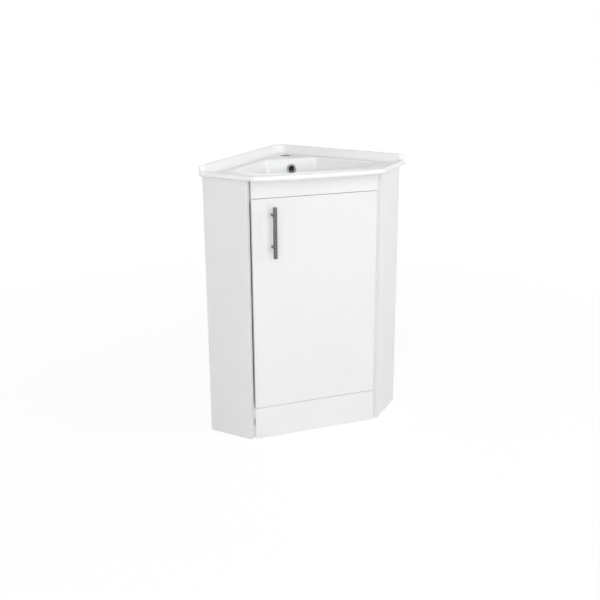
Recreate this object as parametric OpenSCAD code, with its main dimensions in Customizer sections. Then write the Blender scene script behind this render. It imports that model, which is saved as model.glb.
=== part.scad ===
// Corner vanity unit: a washbasin on a pentagonal floor cabinet that stands in the corner of a room.
// The door faces -Y, the corner of the room is at +Y and the two walls run at 45 degrees to both.

/* [Cabinet] */
// Width of the cabinet's front, between the outer front corners of the side panels
cab_w = 418; // [390:1:450]
// Depth of a side panel, measured square to its wall
side_d = 147; // [135:1:170]
// Height of the cabinet under the basin
cab_h = 818; // [780:1:860]
// Thickness of the carcass boards
board_t = 16; // [15:0.5:18]
// Half width of the flat that cuts off the wall corner
corner_cut = 22; // [16:1:26]
// Height of the underside of the base panel
base_z = 100; // [94:1:101]
// Height of the upper back rails
upper_rail_h = 100; // [70:1:140]
// Height of the lower back rails
lower_rail_h = 80; // [50:1:120]
// Depth of the corner post along each wall, behind its flat
post_d = 42.4; // [32:0.1:52]
// Thickness of the back panels
back_t = 3; // [3:0.5:5]
// Distance of a back panel from the wall
back_set = 5; // [4:0.5:6]
// Depth of the groove that holds a back panel
groove_d = 5; // [4:0.5:6]
// Height of the batten behind the top rail
batten_h = 32; // [28:1:36]
// How far the batten reaches below the top rail
batten_drop = 13.5; // [12:0.5:16]

/* [Front] */
// Thickness of the door, the top rail and the plinth panel
front_t = 18; // [17:0.5:19]
// How far the door's face stands ahead of the side panels' front corners
door_proud = 3; // [2.5:0.1:4]
// Gap between the door and the side panel at its hinges
door_gap = 3.7; // [3.4:0.1:4.4]
// Gap between the door and the side panel beside its handle
latch_gap = 2.7; // [2:0.1:4]
// Gap between the end of the top rail or plinth and the side panel
rail_gap = 2.4; // [1.5:0.1:3.5]
// Gap between the door's top and the top rail
top_gap = 1.2; // [1:0.1:3]
// Gap between the door and the plinth panel
foot_gap = 2; // [1.5:0.1:3]
// Height of the plinth panel
plinth_h = 103; // [102.5:0.5:106]
// Height of the top rail
rail_h = 56.5; // [50:0.5:60]

/* [Basin] */
// Overhang of the basin's side past the side panel
over_side = 23; // [16:1:30]
// Overhang of the basin's front past the side panels' front corners, at its ends
over_front = 44; // [36:1:52]
// Bow of the basin's front edge
front_bow = 8; // [4:1:12]
// Height of the wall upstand over the basin's underside
upstand_h = 32; // [28:1:38]
// Height of the rounded lip over the basin's underside
lip_h = 15.8; // [14:0.1:18]
// Height of the sunken deck over the basin's underside
deck_h = 8; // [7:0.5:9]
// Width of the lip
lip_w = 20; // [17:1:24]
// Width of the sloping wall upstand
upstand_w = 33; // [28:1:36]
// Gap between the ceramic round the bowl and the top rail
bowl_gap = 1.2; // [0.8:0.1:3]
// Distance of the bowl's edge from the basin's sides
bowl_side = 80; // [74:1:90]
// Distance of the bowl's edge from the walls
bowl_wall = 57; // [52:1:64]
// Distance of the bowl's back edge from the cut wall corner
bowl_back = 143; // [134:1:152]
// Depth of the bowl below the deck
bowl_depth = 106; // [98:1:114]
// Thickness of the ceramic round the bowl
shell_t = 9; // [8:0.5:10]
// Radius of the tap hole
tap_hole_r = 17.5; // [16:0.5:18]
// Distance of the tap hole from the cut wall corner
tap_hole_back = 77; // [72:1:84]
// Radius of the waste hole
waste_hole_r = 22.5; // [20:0.5:24]
// Distance of the waste hole behind the bowl's front edge
drain_back = 122; // [118:1:128]
// Depth of the overflow hole below the deck
overflow_drop = 32; // [28:1:36]

/* [Overflow ring] */
// Radius of the ring's flange
ring_flange_r = 15.5; // [13:0.5:16]
// Thickness of the ring's flange
ring_flange_t = 2; // [1.5:0.5:3]
// Outer radius of the ring's sleeve
ring_sleeve_r = 11; // [10:0.5:12]
// Radius of the ring's opening
ring_hole_r = 9; // [7:0.5:9]
// Length of the ring's sleeve
ring_sleeve_l = 8; // [6:1:9]

/* [Handle] */
// Radius of the handle bar
bar_r = 6; // [5:0.5:7]
// Length of the handle bar
bar_l = 152; // [136:1:180]
// Distance between the handle posts
post_pitch = 96; // [64:1:128]
// Distance of the bar's axis from the door's face
bar_standoff = 32; // [28:1:36]
// Radius of a handle post
post_r = 4; // [3.5:0.5:4.5]
// How far a post sits in the bar
post_seat = 3; // [2:0.5:4]
// Distance of the bar's axis from the door's left edge
bar_inset = 60; // [40:1:80]
// Distance of the handle's middle below the door's top
bar_drop = 96; // [92:1:140]

/* [Hinges] */
// Distance of a hinge from the door's end
hinge_inset = 100; // [80:1:140]
// Radius of the hinge cup's bore in the door
cup_bore_r = 17.5; // [17:0.5:18]
// Depth of the hinge cup's bore
cup_bore_d = 13; // [12.5:0.5:13]
// Distance of the cup's centre from the door's edge
cup_inset = 22.5; // [21.5:0.5:23.5]
// Wall of the hinge cup
cup_wall = 1.2; // [1:0.1:1.4]
// Thickness of the cup's floor
cup_floor = 0.8; // [0.6:0.1:1]
// Distance of the hinge axis from the door's edge
pin_inset = 15.5; // [15:0.5:16]
// Depth of the hinge axis below the door's back face
pin_depth = 8.5; // [8.3:0.1:8.8]
// Radius of the hinge pin
pin_r = 1.5; // [1.3:0.1:1.6]
// Radius of the arm's eye
eye_r = 3; // [2.8:0.1:3.1]
// Thickness of the hinge arm
arm_t = 2.4; // [2:0.1:2.6]
// Height of the hinge arm
arm_h = 12; // [10:1:14]
// Thickness of the cup's flange and of the mounting plate
plate_t = 2; // [1.5:0.1:2.2]
// Height of the ridge on the mounting plate
ridge_h = 5; // [4:0.5:6]
// Distance of the plate's screws from the side panel's front edge
plate_line = 37; // [35:1:40]
// Distance between the plate's two screws
plate_pitch = 32; // [28:1:36]

/* [Fixings] */
// Radius of a dowel
dowel_r = 4; // [3:0.5:4]
// Length of a dowel
dowel_l = 24; // [20:1:28]
// Depth of a dowel in the side panel or post
dowel_in = 10; // [8:1:11]
// Radius of a small screw's shank
screw_r = 1.9; // [1.6:0.1:2.1]
// Radius of a small screw's head
head_r = 3.6; // [3.3:0.1:4]
// Height of a small screw's head
head_h = 1.8; // [1.4:0.1:2.2]
// Depth of a small screw in a board
screw_d = 11; // [8:0.5:12]
// Length of a steel bracket's leg
leg_l = 28; // [26:1:32]
// Width of a steel bracket
leg_w = 20; // [16:1:22]
// Thickness of a steel bracket
leg_t = 2; // [1.5:0.1:2.5]
// Radius of a hole for a wall screw
wall_hole_r = 2.75; // [2.5:0.05:3.5]
// Radius of a door buffer
buffer_r = 4; // [3:0.5:4.5]
// Thickness of a door buffer
buffer_t = 1.5; // [1:0.1:2]

/* [Clearances] */
// Gap of a piece that stands close to its seat
seat_gap = 0.3; // [0.2:0.05:0.4]
// Radial clearance of a fixing in its hole
hole_gap = 0.05; // [0.02:0.01:0.08]
// Radial clearance of the cup in its bore
cup_gap = 0.1; // [0.05:0.01:0.15]
// Radial running clearance of the hinge pin in the arm's eye
pin_gap = 0.05; // [0.02:0.01:0.08]

/* [Hidden] */

$fn = 48;
r2 = sqrt(2);
eps = 0.01; // how far a cut runs past the face that it opens
slot_w = 0.9; // driver's cross in a screw's head
slot_d = 0.8;

// Plan, with y = 0 at the side panels' outer front corners
in_x = cab_w / 2 - board_t / r2; // inner front corner of the right side panel
in_y = board_t / r2;
wall_sum = cab_w / 2 + side_d * r2; // x + y all along the right wall
back_y = wall_sum - corner_cut;
unit_y = -(back_y - over_front - front_bow) / 2; // brings the middle of the plan to the origin

// Front
door_y = -door_proud;
door_back = door_y + front_t;
frame_y = door_back + buffer_t + seat_gap; // front of the batten and of the base panel
door_x = in_x - door_gap;
door_left = -in_x + latch_gap;
rail_x = in_x - rail_gap;
rail_z = cab_h - rail_h;
door_z0 = plinth_h + foot_gap;
door_z1 = rail_z - top_gap;
batten_z = rail_z - batten_drop;
block_w = 24; // blocks on the batten's ends, which close the gap beside the rail
block_drop = 12; // from the cabinet's top to a block's top
base_top = base_z + board_t;
buffer_inset = 8; // from the door's side edge to a buffer's middle
buffer_edge = 1; // from the door's end to a buffer's rim
buffer_x = door_left + buffer_inset;
buffer_z = [door_z0 + buffer_r + buffer_edge, door_z1 - buffer_r - buffer_edge];

// Corner post, a block with a flat back and ends square to the walls
post_x = corner_cut + post_d / r2;
post_y = back_y - post_d / r2;

// Basin: each ring is described by its distances from the front, the sides, the walls and the cut corner
basin_z = cab_h;
basin_side = cab_w / 2 + over_side * r2; // x - y all along the basin's right side
deck_z = basin_z + deck_h;
// The bowl's wall and floor: how far each ring is inside the bowl's edge at the front, sides, walls and
// back, and its share of the bowl's depth
bowl_levels = [
    [0, 0, 0, 0, 0.023],
    [4, 5, 2.5, 2, 0.075],
    [13, 13, 5.5, 4.5, 0.2],
    [29, 31, 13, 10.3, 0.49],
    [38, 46, 21, 18, 0.62],
    [50, 66, 34, 29, 0.77],
    [60, 88, 52, 44, 0.91],
    [70, 110, 74, 61, 0.972]
];
shell_top = bowl_levels[1]; // the ceramic under the deck starts at this ring
bowl_bow = 3;
bow_reach = 60; // a bow fades out this far behind its front edge
bowl_front = over_front + frame_y + bowl_gap + shell_t + bowl_bow - shell_top[0]; // from the basin's front
drain_y = -over_front + bowl_front + drain_back;
drain_z = deck_z - bowl_depth;

// Handle
bar_x = door_left + bar_inset;
bar_y = door_y - bar_standoff;
bar_z = door_z1 - bar_drop;
handle_screw_r = 2;
handle_screw_l = front_t + 10; // it reaches this far past the door, into the post

// Hinges
pin_x = door_x - pin_inset;
pin_y = door_back - pin_depth;
cup_x = door_x - cup_inset;
cup_r = cup_bore_r - cup_gap;
cup_back = door_back - cup_bore_d + seat_gap;
cup_inner_r = cup_r - cup_wall;
swing_r = norm([pin_inset, front_t - pin_depth]); // the door's hinge edge sweeps this far round the pin
swing_gap = 1; // room round the door's swinging edge
relief_gap = 1.5; // room over and under it
upper_hinge_z = door_z1 - hinge_inset;
lower_hinge_z = door_z0 + hinge_inset;
mouth_d = 3; // the cup's wall is this much lower where the arm passes
ear_gap = 0.5; // from the arm to an ear
ear_t = 2;
ear_in = 4; // from the pin's axis to an ear's inner end
ear_up = 3.5; // and to its top
wing_x = -9.5; // the cup's screws lie behind its centre by this much
wing_z = cup_bore_r + 5;
wing_end = 5.5; // from a screw of the cup to the edge of its flange
pin_end = 0.2; // the pin stands out of each ear by this much
pin_l = arm_h + 2 * (ear_gap + ear_t + pin_end);
arm_y = plate_t + ridge_h + seat_gap + arm_t / 2; // arm's centre line over the side panel's inner face
neck_y = 26; // the arm leaves the pin's neighbourhood this far behind the pin
neck = [[0, 0], [-9, 5], [-13.5, 11], [-14.5, 17], [-11.5, 22.5], [-5, neck_y]];
plate_l = 34;
plate_w = 18;
plate_x0 = plate_line - plate_w / 2;
plate_edge = 2; // the plate's rim round its ridge and beside its wings
ridge_step = 1; // the ridge is this much narrower than the arm at each side
plate_wing_w = 14;
plate_wing_end = 5; // from a screw of the plate to the end of its wing
arm_end = plate_x0 + plate_l - plate_edge;
arm_screw_x = arm_end - 10;

// ---------- helpers ----------

// The finished place of the whole unit, about the middle of its footprint
module unit() {
    translate([0, unit_y, 0]) children();
}

// Both sides of the unit
module both_sides() {
    children();
    mirror([1, 0, 0]) children();
}

// Frame on the right side panel's inner face: x back along the panel, y into the cabinet
module on_side_panel() {
    translate([in_x, in_y, 0]) rotate([0, 0, 45]) children();
}

// Frame on the right wall: x from the room's corner along the wall, y into the cabinet
module on_wall() {
    translate([0, wall_sum, 0]) rotate([0, 0, -45]) mirror([0, 1, 0]) children();
}

// A cylinder along +Y
module y_rod(r, l) {
    rotate([-90, 0, 0]) cylinder(r = r, h = l);
}

// A cylinder along +X
module x_rod(r, l) {
    rotate([0, 90, 0]) cylinder(r = r, h = l);
}

// A screw whose head stands on the plane y = 0 and whose shank runs to -Y
module screw(shank_r = screw_r, shank_l = screw_d, top_r = head_r, top_h = head_h) {
    translate([0, -shank_l, 0]) y_rod(shank_r, shank_l + top_h / 2);
    difference() {
        y_rod(top_r, top_h);
        translate([0, top_h - slot_d, 0]) cross_slot(top_r);
    }
}

// The driver's cross in a screw's head
module cross_slot(top_r) {
    for (turn = [0, 90])
        rotate([0, turn, 0]) translate([-top_r * 0.6, 0, -slot_w / 2])
            cube([top_r * 1.2, slot_d + 1, slot_w]);
}

// The hole that a screw needs, from just over the plane y = 0
module screw_hole(shank_r = screw_r, shank_l = screw_d) {
    translate([0, -shank_l - seat_gap, 0]) y_rod(shank_r + hole_gap, shank_l + seat_gap + eps);
}

// Offset of a path's point i by h to its left, mitred between its two neighbours
function unit_of(v) = v / norm(v);
function left_of(v) = [-v[1], v[0]];
function side_normal(p, i) = left_of(unit_of(p[i + 1] - p[i]));
function mitre(p, i, h) =
    i == 0 ? p[0] + h * side_normal(p, 0) :
    i == len(p) - 1 ? p[i] + h * side_normal(p, i - 1) :
    p[i] + h * (side_normal(p, i - 1) + side_normal(p, i)) / (1 + side_normal(p, i - 1) * side_normal(p, i));

// Outline of a bent strip between the offsets a and b of its path
function strip(p, a, b) = concat(
    [for (i = [0 : len(p) - 1]) mitre(p, i, a)],
    [for (i = [len(p) - 1 : -1 : 0]) mitre(p, i, b)]
);

// ---------- basin ----------

// One basin ring is [front, side, wall, back, corner radii, height at the free side, height at the wall,
// bow].
// The lip and the wall upstand are the same rings, seen at the front and at the walls.
function ring_at(free, wall, back, radii, z_free, z_wall, bow) =
    [free[0], free[1], wall, back, radii, z_free, z_wall, bow];
function rim(free, wall, z_free, z_wall, radii = [14, 12, 10]) =
    ring_at([free, free], wall, wall, radii, z_free, z_wall, front_bow);

lip_z = basin_z + lip_h;
top_z = basin_z + upstand_h;
rim_rings = [
    rim(6, 3, basin_z, basin_z),
    rim(1.4, 0.6, basin_z + 2.6, basin_z + 1.6),
    rim(0, 0, basin_z + 7, basin_z + 7),
    rim(0.8, 0, basin_z + lip_h - 4.4, top_z - 8),
    rim(3.6, 1.2, basin_z + lip_h - 1.2, top_z - 2.6),
    rim(8.4, 4, lip_z, top_z),
    rim(lip_w - 6.2, 8.6, lip_z - 1.3, top_z - 1.2),
    rim(lip_w - 2.6, upstand_w * 0.52, lip_z - 4.4, top_z - upstand_h * 0.34),
    rim(lip_w, upstand_w * 0.8, deck_z + 1, top_z - upstand_h * 0.64),
    rim(lip_w + 5, upstand_w, deck_z + 0.2, deck_z + 0.2, [12, 10, 6])
];
deck_rings = [
    ring_at([bowl_front - 13, bowl_side - 14], bowl_wall - 9, bowl_back - 16, [48, 12, 16],
        deck_z, deck_z, 5),
    ring_at([bowl_front - 3.5, bowl_side - 3.5], bowl_wall - 3, bowl_back - 3.5, [58, 12, 16],
        deck_z - 0.5, deck_z - 0.5, bowl_bow)
];

function level_z(level) = deck_z - level[4] * bowl_depth;
function bowl_ring(level, out = 0, down = 0) = ring_at(
    [bowl_front + level[0] - out, bowl_side + level[1] - out],
    bowl_wall + level[2] - out, bowl_back + level[3] - out,
    [60 - level[4] * 25, 14 + level[4] * 17, 16 + level[4] * 21],
    level_z(level) - down, level_z(level) - down, bowl_bow);

// Corner of two edges, rounded with radius r, from direction a through a left turn
function round_corner(p, r, a, turn, steps) =
    let (start = p - r * tan(turn / 2) * [cos(a), sin(a)], c = start + r * [-sin(a), cos(a)])
    [for (k = [0 : steps]) c + r * [sin(a + turn * k / steps), -cos(a + turn * k / steps)]];
function between(p, q, shares) = [for (t = shares) p + (q - p) * t];
function smooth(t) = let (u = min(1, max(0, t))) u * u * (3 - 2 * u);

// Right half of a ring in plan, from the middle of the front to the middle of the back
function half_plan(ring) =
    let (
        f = -over_front + ring[0],
        s = basin_side - ring[1] * r2,
        w = wall_sum - ring[2] * r2,
        b = back_y - ring[3],
        front = round_corner([s + f, f], ring[4][0], 0, 45, 5),
        tip = round_corner([(s + w) / 2, (w - s) / 2], ring[4][1], 45, 90, 6),
        rear = round_corner([w - b, b], ring[4][2], 135, 45, 3)
    )
    concat(
        between([0, f], front[0], [0, 0.3, 0.6, 0.85]), front,
        between(front[5], tip[0], [0.3, 0.6, 0.8, 0.92]), tip,
        between(tip[6], rear[0], [0.12, 0.4, 0.7]), rear, [[0, b]]
    );

// The share of the wall's height at each point of a half ring: none at the front, all along the walls
side_i = 10; // the side edge starts after this point
wall_i = 20; // the wall edge starts at this point
function wall_share(i) = smooth((i - side_i - 2) / (wall_i - side_i - 2));
function bowed(p, ring) =
    let (f = -over_front + ring[0], reach = basin_side - ring[1] * r2 + f, near = (p[1] - f) / bow_reach)
    [p[0], p[1] - ring[7] * max(0, 1 - pow(p[0] / reach, 2)) * max(0, 1 - near)];
function half_ring(ring) =
    let (plan = half_plan(ring))
    [for (i = [0 : len(plan) - 1])
        let (p = bowed(plan[i], ring))
        [p[0], p[1], ring[5] + (ring[6] - ring[5]) * wall_share(i)]];
function full_ring(half) = concat(
    half, [for (i = [len(half) - 2 : -1 : 1]) [-half[i][0], half[i][1], half[i][2]]]);
// A ring of the same points drawn on a circle round the waste hole
function round_ring(like, r, z) = [for (p = like)
    let (d = [p[0], p[1] - drain_y]) concat([0, drain_y] + r * unit_of(d), [z])];

floor_in = full_ring(half_ring(bowl_ring(bowl_levels[7])));
floor_out = full_ring(half_ring(bowl_ring(bowl_levels[7], shell_t, shell_t)));
basin_rings = concat(
    [round_ring(floor_in, waste_hole_r - 6, drain_z - 3)],
    [round_ring(floor_in, waste_hole_r + 8, drain_z - 0.6)],
    [floor_in],
    [for (i = [6 : -1 : 0]) full_ring(half_ring(bowl_ring(bowl_levels[i])))],
    [for (i = [1 : -1 : 0]) full_ring(half_ring(deck_rings[i]))],
    [for (i = [9 : -1 : 0]) full_ring(half_ring(rim_rings[i]))],
    [full_ring(half_ring(bowl_ring(shell_top, shell_t, deck_h - shell_top[4] * bowl_depth)))],
    [for (i = [1 : 6]) full_ring(half_ring(bowl_ring(bowl_levels[i], shell_t, shell_t)))],
    [floor_out],
    [round_ring(floor_out, waste_hole_r + 12, drain_z - shell_t - 1)],
    [round_ring(floor_out, waste_hole_r - 6, drain_z - shell_t - 1)]
);

// Skin over a stack of closed rings, with a flat cap at each end
module ring_stack(rings) {
    n = len(rings[0]);
    last = (len(rings) - 1) * n;
    polyhedron(
        points = [for (ring = rings) for (p = ring) p],
        faces = concat(
            [[for (i = [n - 1 : -1 : 0]) i]],
            [for (k = [0 : len(rings) - 2]) for (i = [0 : n - 1])
                let (a = k * n + i, b = k * n + (i + 1) % n) each [[a, b, a + n], [b, b + n, a + n]]],
            [[for (i = [0 : n - 1]) last + i]]
        )
    );
}

// The flat part of the bowl's back wall, which the overflow is in, and its lean
lean_top = shell_top;
lean_end = bowl_levels[3];
lean = (lean_end[3] - lean_top[3]) / (level_z(lean_top) - level_z(lean_end));
overflow_z = deck_z - overflow_drop;
overflow_y = back_y - bowl_back - lean_top[3] - (level_z(lean_top) - overflow_z) * lean;

// Frame on the bowl's back wall at the overflow: +Y runs into the ceramic
module at_overflow() {
    translate([0, overflow_y, overflow_z]) rotate([-atan(lean), 0, 0]) children();
}

module basin() {
    color([0.95, 0.96, 0.95]) unit() difference() {
        difference() {
            ring_stack(basin_rings);
            translate([0, back_y - tap_hole_back, basin_z - 5]) cylinder(r = tap_hole_r, h = deck_h + 10);
            translate([0, drain_y, drain_z - 30]) cylinder(r = waste_hole_r, h = 40);
        }
        at_overflow() translate([0, -8, 0]) y_rod(ring_sleeve_r + cup_gap, 30);
    }
}

module overflow_ring() {
    color("silver") unit() at_overflow() difference() {
        union() {
            translate([0, -seat_gap - ring_flange_t, 0]) y_rod(ring_flange_r, ring_flange_t);
            translate([0, -seat_gap - ring_flange_t, 0]) y_rod(ring_sleeve_r, ring_flange_t + ring_sleeve_l);
        }
        translate([0, -10, 0]) y_rod(ring_hole_r, 30);
    }
}

// ---------- carcass ----------

white = [0.95, 0.95, 0.94];
inside_white = [0.9, 0.9, 0.89];

hinge_levels = [upper_hinge_z, lower_hinge_z];
panel_dowel_inset = 38; // from the panel's front and back edges
panel_dowel_x = [panel_dowel_inset, side_d - panel_dowel_inset];
upper_rail_z = cab_h - upper_rail_h;
rail_dowel_inset = 25; // from an upper rail's edges
rail_dowel_z = [upper_rail_z + rail_dowel_inset, cab_h - rail_dowel_inset, base_top + lower_rail_h / 2];

// The groove round each back panel, in the side panel, the post and the two rails
groove_w = back_t + 2 * seat_gap;
groove_z0 = base_top + lower_rail_h - groove_d;
groove_z1 = upper_rail_z + groove_d;

// The right side panel in its own frame, with its inner face at y = 0
module side_panel_board() {
    difference() {
        translate([0, -board_t, 0]) cube([side_d, board_t, cab_h]);
        for (x = panel_dowel_x)
            translate([x, -dowel_in, base_z + board_t / 2]) y_rod(dowel_r + hole_gap, dowel_in + eps);
        for (z = rail_dowel_z)
            translate([side_d - board_t / 2, -dowel_in, z]) y_rod(dowel_r + hole_gap, dowel_in + eps);
        translate([side_d - back_set - back_t - seat_gap, -groove_d, groove_z0])
            cube([groove_w, groove_d + eps, groove_z1 - groove_z0]);
    }
}

module right_side_panel() {
    color(white) unit() difference() {
        on_side_panel() side_panel_board();
        on_side_panel() for (z = hinge_levels) translate([0, 0, z]) plate_screw_places() screw_hole();
        bracket_screw_places(true) screw_hole();
    }
}

module left_side_panel() {
    color(white) unit() mirror([1, 0, 0]) difference() {
        on_side_panel() side_panel_board();
        bracket_screw_places(true) screw_hole();
    }
}

// Half width of the inside of the cabinet, y behind the front corners and ahead of the walls
function inner_x(y) = in_x + (y - in_y);
rear_x = in_x + side_d / r2;
rear_y = in_y + side_d / r2;

// Room for the door's hinge edge, which swings back into the cabinet
module hinge_relief() {
    translate([pin_x - swing_r - swing_gap, 0, door_z0 - relief_gap])
        cube([board_t + 3 * swing_r, pin_y + swing_r + swing_gap, door_z1 - door_z0 + 2 * relief_gap]);
}

module base_panel() {
    color(inside_white) unit() difference() {
        translate([0, 0, base_z]) linear_extrude(height = board_t) polygon([
            [-inner_x(frame_y), frame_y], [inner_x(frame_y), frame_y], [rear_x, rear_y],
            [post_x, post_y], [post_x - board_t / r2, post_y - board_t / r2],
            [-post_x + board_t / r2, post_y - board_t / r2], [-post_x, post_y], [-rear_x, rear_y]
        ]);
        both_sides() on_side_panel() for (x = panel_dowel_x)
            translate([x, -eps, base_z + board_t / 2]) y_rod(dowel_r + hole_gap, dowel_l - dowel_in + eps);
        plinth_screw_places(true) screw_hole();
        hinge_relief();
    }
}

module front_board(half_w, z, h) {
    translate([-half_w, frame_y - front_t, z]) cube([2 * half_w, front_t, h]);
}

module plinth_panel() {
    color(white) unit() difference() {
        front_board(rail_x, 0, plinth_h);
        both_sides() corner_bracket_screws(frame_y, plinth_bracket_z, false) screw_hole();
        plinth_screw_places(false) screw_hole();
    }
}

rail_screw_in = 12; // depth of a rail screw in the top rail
rail_screw_l = board_t + rail_screw_in;
rail_screw_x = [-150, 0, 150];
rail_screw_z = rail_z + (batten_h - batten_drop) / 2;

module top_rail() {
    color(white) unit() difference() {
        front_board(rail_x, rail_z, rail_h);
        for (x = rail_screw_x)
            translate([x, frame_y + board_t, rail_screw_z]) screw_hole(shank_l = rail_screw_l);
    }
}

// Block on the batten's right end, up to just under the basin
module batten_block() {
    rear = frame_y + board_t;
    inner_end = inner_x(frame_y) - block_w;
    translate([0, 0, batten_z]) linear_extrude(height = cab_h - block_drop - batten_z) polygon([
        [inner_end, frame_y], [inner_x(frame_y), frame_y], [inner_x(rear), rear], [inner_end, rear]
    ]);
}

module front_batten() {
    color(inside_white) unit() difference() {
        union() {
            translate([0, 0, batten_z]) linear_extrude(height = batten_h) polygon([
                [-inner_x(frame_y), frame_y], [inner_x(frame_y), frame_y],
                [inner_x(frame_y + board_t), frame_y + board_t],
                [-inner_x(frame_y + board_t), frame_y + board_t]
            ]);
            both_sides() batten_block();
        }
        for (x = rail_screw_x)
            translate([x, frame_y + board_t, rail_screw_z]) screw_hole(shank_l = rail_screw_l);
        both_sides() corner_bracket_screws(frame_y + board_t, batten_bracket_z, false) screw_hole();
        hinge_relief();
    }
}

module corner_post() {
    color(inside_white) unit() difference() {
        linear_extrude(height = cab_h) polygon([
            [-corner_cut, back_y], [corner_cut, back_y], [post_x, post_y],
            [post_x - board_t / r2, post_y - board_t / r2],
            [-post_x + board_t / r2, post_y - board_t / r2], [-post_x, post_y]
        ]);
        both_sides() on_wall() for (z = rail_dowel_z)
            translate([post_face - dowel_in, board_t / 2, z]) x_rod(dowel_r + hole_gap, dowel_in + eps);
        both_sides() back_groove();
    }
}

post_face = corner_cut * r2 + post_d; // from the room's corner along the wall to the post's end
panel_face = wall_sum / 2 * r2 + (rear_x - rear_y) / r2; // and to the side panel's inner face
wall_hole_x = (post_face + panel_face) / 2;

// The space that the groove on the right wall takes, from the post to the side panel
module back_groove() {
    on_wall() translate([post_face - groove_d, back_set - seat_gap, groove_z0])
        cube([panel_face - post_face + 2 * groove_d, groove_w, groove_z1 - groove_z0]);
}

// A thin panel that closes the back on the right wall, in the groove
module back_panel() {
    in_groove = groove_d - seat_gap;
    on_wall() translate([post_face - in_groove, back_set, groove_z0 + seat_gap])
        cube([panel_face - post_face + 2 * in_groove, back_t, groove_z1 - groove_z0 - 2 * seat_gap]);
}

module right_back_panel() {
    color(inside_white) unit() back_panel();
}

module left_back_panel() {
    color(inside_white) unit() mirror([1, 0, 0]) back_panel();
}

// A back rail on the right wall, between the corner post and the side panel
module back_rail(z, h, dowel_z) {
    on_wall() difference() {
        translate([post_face, 0, z]) cube([panel_face - post_face, board_t, h]);
        for (level = dowel_z) {
            translate([post_face - eps, board_t / 2, level])
                x_rod(dowel_r + hole_gap, dowel_l - dowel_in + eps);
            translate([panel_face - dowel_l + dowel_in, board_t / 2, level])
                x_rod(dowel_r + hole_gap, dowel_l - dowel_in + eps);
        }
    }
}

module upper_rail() {
    difference() {
        back_rail(upper_rail_z, upper_rail_h, [rail_dowel_z[0], rail_dowel_z[1]]);
        on_wall() translate([wall_hole_x, -eps, upper_rail_z + upper_rail_h / 2])
            y_rod(wall_hole_r, board_t + 2 * eps);
        back_groove();
    }
}

module lower_rail() {
    difference() {
        back_rail(base_top, lower_rail_h, [rail_dowel_z[2]]);
        back_groove();
    }
}

module right_upper_rail() {
    color(inside_white) unit() upper_rail();
}

module left_upper_rail() {
    color(inside_white) unit() mirror([1, 0, 0]) upper_rail();
}

module right_lower_rail() {
    color(inside_white) unit() lower_rail();
}

module left_lower_rail() {
    color(inside_white) unit() mirror([1, 0, 0]) lower_rail();
}

module carcass_dowels() {
    color("burlywood") unit() both_sides() {
        on_side_panel() for (x = panel_dowel_x)
            translate([x, -dowel_in + seat_gap, base_z + board_t / 2]) y_rod(dowel_r, dowel_l - 2 * seat_gap);
        on_wall() for (z = rail_dowel_z) {
            translate([post_face - dowel_in + seat_gap, board_t / 2, z])
                x_rod(dowel_r, dowel_l - 2 * seat_gap);
            translate([panel_face - dowel_l + dowel_in + seat_gap, board_t / 2, z])
                x_rod(dowel_r, dowel_l - 2 * seat_gap);
        }
    }
}

// ---------- brackets ----------

batten_bracket_z = batten_z + batten_h / 2;
plinth_bracket_z = base_z / 2;
plinth_bracket_x = 90;

// A bent steel strap between the face y = face_y and the right side panel's inner face
module corner_bracket(face_y, z) {
    bend = [inner_x(face_y), face_y];
    path = [bend - [leg_l, 0], bend, bend + leg_l * [1, 1] / r2];
    difference() {
        translate([0, 0, z - leg_w / 2]) linear_extrude(height = leg_w) polygon(strip(path, leg_t, 0));
        for (on_panel = [false, true]) corner_bracket_screws(face_y, z, on_panel)
            translate([0, -leg_t - 1, 0]) y_rod(screw_r + hole_gap, 2 * leg_t + 2);
    }
}

// The place of a strap's screw, with y = 0 on the board's face and the head towards +Y
module corner_bracket_screws(face_y, z, on_panel) {
    bend = [inner_x(face_y), face_y];
    reach = leg_l * 0.7;
    if (on_panel)
        translate([bend[0] + reach / r2, bend[1] + reach / r2, z]) rotate([0, 0, 45]) children();
    else
        translate([bend[0] - reach, face_y, z]) children();
}

// Every bracket screw that goes into the right side panel, or into the front boards
module bracket_screw_places(on_panel) {
    corner_bracket_screws(frame_y + board_t, batten_bracket_z, on_panel) children();
    corner_bracket_screws(frame_y, plinth_bracket_z, on_panel) children();
}

module corner_brackets() {
    color("silver") unit() both_sides() {
        corner_bracket(frame_y + board_t, batten_bracket_z);
        corner_bracket(frame_y, plinth_bracket_z);
    }
}

// The places of the screws between the plinth panel and the base panel's underside
module plinth_screw_places(in_base) {
    reach = leg_l * 0.6;
    for (x = [-plinth_bracket_x, plinth_bracket_x])
        if (in_base)
            translate([x, frame_y + reach, base_z]) rotate([-90, 0, 0]) children();
        else
            translate([x, frame_y, base_z - reach]) children();
}

module plinth_brackets() {
    color("silver") unit() difference() {
        for (x = [-plinth_bracket_x, plinth_bracket_x]) translate([x - leg_w / 2, frame_y, base_z - leg_l]) {
            cube([leg_w, leg_t, leg_l]);
            translate([0, 0, leg_l - leg_t]) cube([leg_w, leg_l, leg_t]);
        }
        for (in_base = [false, true]) plinth_screw_places(in_base)
            translate([0, -1, 0]) y_rod(screw_r + hole_gap, leg_t + 2);
    }
}

module bracket_screws() {
    color("silver") unit() {
        both_sides() for (on_panel = [false, true])
            bracket_screw_places(on_panel) translate([0, leg_t, 0]) screw();
        for (in_base = [false, true]) plinth_screw_places(in_base) translate([0, leg_t, 0]) screw();
    }
}

module rail_screws() {
    color("silver") unit() for (x = rail_screw_x)
        translate([x, frame_y + board_t, rail_screw_z]) screw(shank_l = rail_screw_l);
}

// ---------- door ----------

handle_levels = [bar_z - post_pitch / 2, bar_z + post_pitch / 2];

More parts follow.
